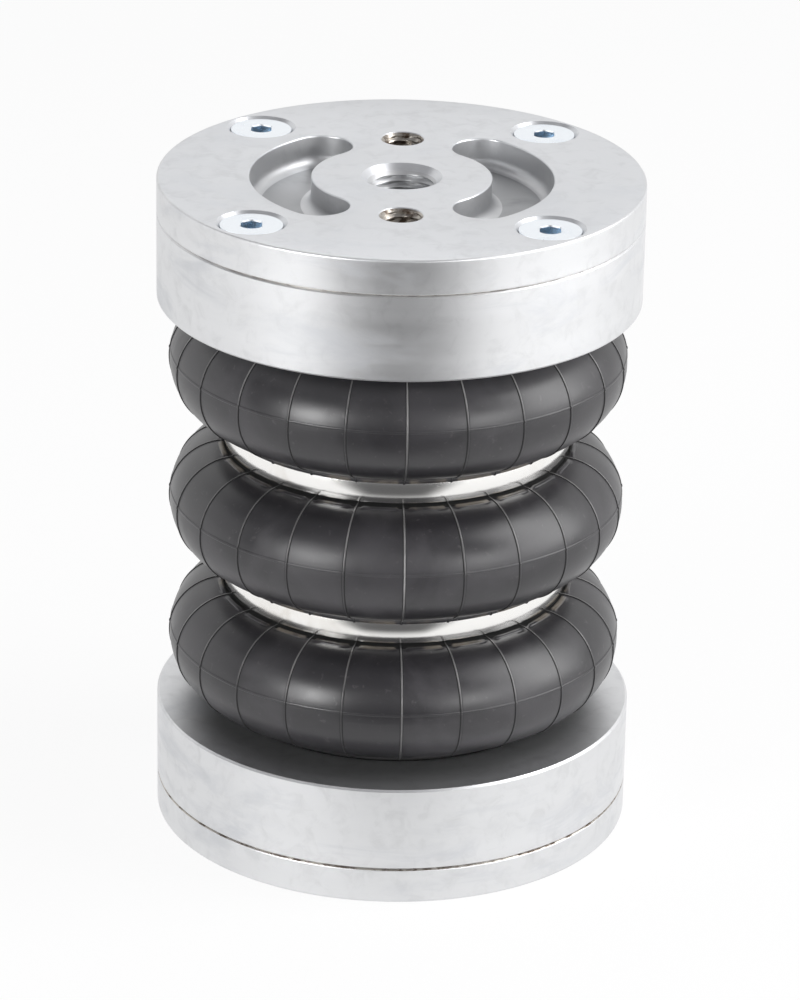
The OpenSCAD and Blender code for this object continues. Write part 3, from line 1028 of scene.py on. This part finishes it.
def socket_screw(end, i, body):
    """A countersunk screw with a hexagon socket and a rolled thread."""
    bm = bmesh.new()
    middle = screw_place(i)
    head = HEAD_SINK
    socket_floor = head + SOCKET_DEPTH
    neck = head + HEAD_LAND + HEAD_R - SCREW_R
    sizes = (
        (hexagon, socket_floor),
        (hexagon, head + SOCKET_CHAMFER),
        (SOCKET_MOUTH_R, head),
        (SOCKET_MOUTH_R + EDGE_HOLD, head),
        (HEAD_R - HEAD_ROUND - EDGE_HOLD, head),
        (HEAD_R - HEAD_ROUND, head),
        (HEAD_R - HEAD_ROUND_MIDDLE, head + HEAD_ROUND_MIDDLE),
        (HEAD_R, head + HEAD_ROUND),
        (HEAD_R, head + HEAD_LAND),
        (SCREW_R, neck),
    )
    loops = circle_loops(middle, sizes, HOLE_COLUMNS)
    rows = math.ceil((SCREW_TIP - neck) / SCREW_PITCH * SCREW_ROWS_PER_TURN)
    for row in range(1, rows + 1):
        depth = neck + (SCREW_TIP - neck) * row / rows

        def radius(angle):
            groove = SCREW_GROOVE * thread_wave(depth / SCREW_PITCH - angle / FULL_TURN)
            return min(SCREW_R - groove, SCREW_R - SCREW_GROOVE + SCREW_TIP - depth)

        loops.append(circle_loop(middle, radius, depth, HOLE_COLUMNS))
    first, last = skin(bm, loops, SHADED_SOCKET, SHANK)
    point_cap(bm, first, socket_floor + SOCKET_POINT, SHADED_SOCKET)
    flat_fill(bm, [last], SHANK)
    piece = end_piece(bm, end, f"{end}_socket_screw_{i + 1}", SCREW_FINISHES, SCREW_SHARP)
    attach(piece, body)
    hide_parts(f"{end}_clamp_screw_{i + 1}")


def dress_kept_nodes():
    """Finishes of the solids that show as they are."""
    for end in ("lower", "upper"):
        for node, finish in (
            ("clamp_ring", TURNED_WALL), ("girdle_hoop", HOOP_STEEL), ("bead_wire", WIRE_STEEL)
        ):
            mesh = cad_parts[f"{end}_{node}"].data
            mesh.materials.clear()
            mesh.materials.append(finish)


# Stage, light and camera, in metres

STAGE_REACH = 3.0
TABLE_Z = -0.05 * MM
BACKDROP_Y = 1.3
BACKDROP_H = 2.2
CARD_Y = -1.3
CARD_HALF_W = 1.5
CARD_BOTTOM = 0.3
CARD_TOP = 1.2
# The dark strip in front of the part: where it starts, where it is fully dark, the point that its sides
# spread from, and their slopes where its dark middle ends and where it is white
STRIP_Z = 0.3 * MM
STRIP_START_Y = -0.085
STRIP_DARK_Y = -0.19
STRIP_APEX_Y = -0.08
STRIP_DARK_SLOPE = 0.46
STRIP_SIDE_SLOPE = 1.2
# Tones of the papers, the share of its tone that lit paper gives back, and the share of what is seen
# that is its own tone
WHITE_TONE = 1.0
GREY_TONE = 0.6
DARK_PAPER = (0.12, 0.12, 0.122)
LIT_SHARE = 0.9
OWN_SHARE = 0.9
ROOM_LIGHT = (0.28, 0.28, 0.29)
WHITE = (1, 1, 1)
# Soft boxes round the part: azimuth, from the camera's side towards the right, and elevation in degrees,
# and power in watts
SoftBox = namedtuple("SoftBox", "name azimuth elevation distance width height power")
SOFT_BOXES = (
    SoftBox("right_box", 85, 28, 0.95, 0.6, 1.0, 9),
    SoftBox("right_front_box", 43, 12, 1.0, 0.6, 0.34, 3),
    SoftBox("left_box", -42, 14, 1.0, 0.3, 0.4, 5),
    SoftBox("left_side_box", -98, 12, 0.95, 0.6, 0.6, 0.8),
    SoftBox("top_box", 180, 70, 1.4, 1.5, 1.2, 3.5),
)


def seen_through(tree, *rays):
    """1 for what the camera sees by any of these rays."""
    path = add(tree, "ShaderNodeLightPath")
    seen = path.outputs[rays[0]]
    for ray in rays[1:]:
        seen = maths(tree, "MAXIMUM", seen, path.outputs[ray])
    return seen


def stage_paper(name, tone, shade=None):
    """Matt paper that mostly shows its own tone to the camera and in reflections, and is lit for the rest.

    shade makes the socket for how white the paper is, where that changes over the sheet.
    """
    material = bpy.data.materials.new(name)
    material.use_nodes = True
    tree = material.node_tree
    tree.nodes.clear()
    lit_tone, own_tone = (LIT_SHARE * tone,) * 3, (tone,) * 3
    paper = add(tree, "ShaderNodeBsdfDiffuse", {"Color": (*lit_tone, 1)})
    glow = add(tree, "ShaderNodeEmission", {"Color": (*own_tone, 1)})
    if shade:
        white = shade(tree)
        tree.links.new(tint(tree, white, DARK_PAPER, lit_tone), paper.inputs["Color"])
        tree.links.new(tint(tree, white, DARK_PAPER, own_tone), glow.inputs["Color"])
    seen = seen_through(tree, "Is Camera Ray", "Is Glossy Ray", "Is Transmission Ray")
    own = maths(tree, "MULTIPLY", seen, OWN_SHARE)
    mixed = add(
        tree, "ShaderNodeMixShader", {"Fac": own, 1: paper.outputs["BSDF"], 2: glow.outputs["Emission"]}
    )
    add(tree, "ShaderNodeOutputMaterial", {"Surface": mixed.outputs["Shader"]})
    return material


def strip_shade(tree):
    """White where the dark strip starts and along its sides, dark further on and in its middle."""
    split = split_place(tree)
    near = smooth_share(tree, split["Y"], STRIP_DARK_Y, STRIP_START_Y)
    ahead = maths(tree, "SUBTRACT", split["Y"], STRIP_APEX_Y)
    slope = maths(tree, "ABSOLUTE", maths(tree, "DIVIDE", split["X"], ahead))
    return maths(tree, "MAXIMUM", near, smooth_share(tree, slope, STRIP_DARK_SLOPE, STRIP_SIDE_SLOPE))


def level_corners(z, near_y, near_half_w, far_y, far_half_w):
    near = [(-near_half_w, near_y, z), (near_half_w, near_y, z)]
    return near + [(far_half_w, far_y, z), (-far_half_w, far_y, z)]


def upright_corners(y, half_w, bottom, top):
    return [(-half_w, y, bottom), (half_w, y, bottom), (half_w, y, top), (-half_w, y, top)]


def sheet_of_paper(name, corners, material, shown):
    """A flat sheet of the stage; where it isn't shown it is seen only in reflections."""
    mesh = bpy.data.meshes.new(name)
    mesh.from_pydata(corners, [], [(0, 1, 2, 3)])
    mesh.materials.append(material)
    sheet = bpy.data.objects.new(name, mesh)
    bpy.context.scene.collection.objects.link(sheet)
    for rays in ("visible_camera", "visible_diffuse", "visible_shadow"):
        setattr(sheet, rays, shown)


def studio():
    """A white table and backdrop, and in front a dark strip and a grey card that the metal reflects."""
    white = stage_paper("white_paper", WHITE_TONE)
    table = level_corners(TABLE_Z, -STAGE_REACH, STAGE_REACH, STAGE_REACH, STAGE_REACH)
    sheet_of_paper("table", table, white, True)
    backdrop = upright_corners(BACKDROP_Y, STAGE_REACH, 0, BACKDROP_H)
    sheet_of_paper("backdrop", backdrop, white, False)
    card = upright_corners(CARD_Y, CARD_HALF_W, CARD_BOTTOM, CARD_TOP)
    sheet_of_paper("front_card", card, stage_paper("grey_paper", GREY_TONE), False)
    strip_ends = (STRIP_START_Y, -STAGE_REACH)
    start_half_w, end_half_w = (STRIP_SIDE_SLOPE * (STRIP_APEX_Y - y) for y in strip_ends)
    strip = level_corners(STRIP_Z, -STAGE_REACH, end_half_w, STRIP_START_Y, start_half_w)
    sheet_of_paper("dark_strip", strip, stage_paper("dark_paper", WHITE_TONE, strip_shade), False)


def room():
    """A dim room that is white only where the camera looks past the stage."""
    world = bpy.data.worlds.new("studio_world")
    bpy.context.scene.world = world
    world.use_nodes = True
    tree = world.node_tree
    background = tree.nodes["Background"]
    background.inputs["Strength"].default_value = 1.0
    seen = seen_through(tree, "Is Camera Ray", "Is Transmission Ray")
    tree.links.new(tint(tree, seen, ROOM_LIGHT, WHITE), background.inputs["Color"])


def around(azimuth, elevation, distance):
    """A place round the part, from its azimuth and elevation in degrees."""
    a, e = math.radians(azimuth), math.radians(elevation)
    return LOOK_AT + distance * Vector((math.sin(a) * math.cos(e), -math.cos(a) * math.cos(e), math.sin(e)))


def soft_light(box):
    """A soft box that faces the part's middle."""
    lamp = bpy.data.lights.new(box.name, "AREA")
    lamp.shape = "RECTANGLE"
    lamp.size = box.width
    lamp.size_y = box.height
    lamp.energy = box.power
    place = around(box.azimuth, box.elevation, box.distance)
    light = bpy.data.objects.new(box.name, lamp)
    light.location = place
    light.rotation_euler = (LOOK_AT - place).to_track_quat("-Z", "Y").to_euler()
    bpy.context.scene.collection.objects.link(light)


def camera():
    data = bpy.data.cameras.new("photo_camera")
    data.lens = CAMERA_LENS
    data.shift_x, data.shift_y = CAMERA_SHIFT
    eye = bpy.data.objects.new("photo_camera", data)
    bpy.context.scene.collection.objects.link(eye)
    back = Vector((0, -math.cos(CAMERA_ELEVATION), math.sin(CAMERA_ELEVATION)))
    tilt = Matrix.Rotation(RIGHT_ANGLE - CAMERA_ELEVATION, 4, "X")
    roll = Matrix.Rotation(CAMERA_ROLL, 4, "Z")
    eye.matrix_world = Matrix.Translation(LOOK_AT + CAMERA_DISTANCE * back) @ tilt @ roll
    bpy.context.scene.camera = eye


bellows()
for end, body in (("lower", "base"), ("upper", "top")):
    end_plate(end, body)
    for i in range(SCREW_COUNT):
        socket_screw(end, i, body)
dress_kept_nodes()
studio()
room()
for box in SOFT_BOXES:
    soft_light(box)
camera()
bpy.context.scene.view_settings.view_transform = "Standard"
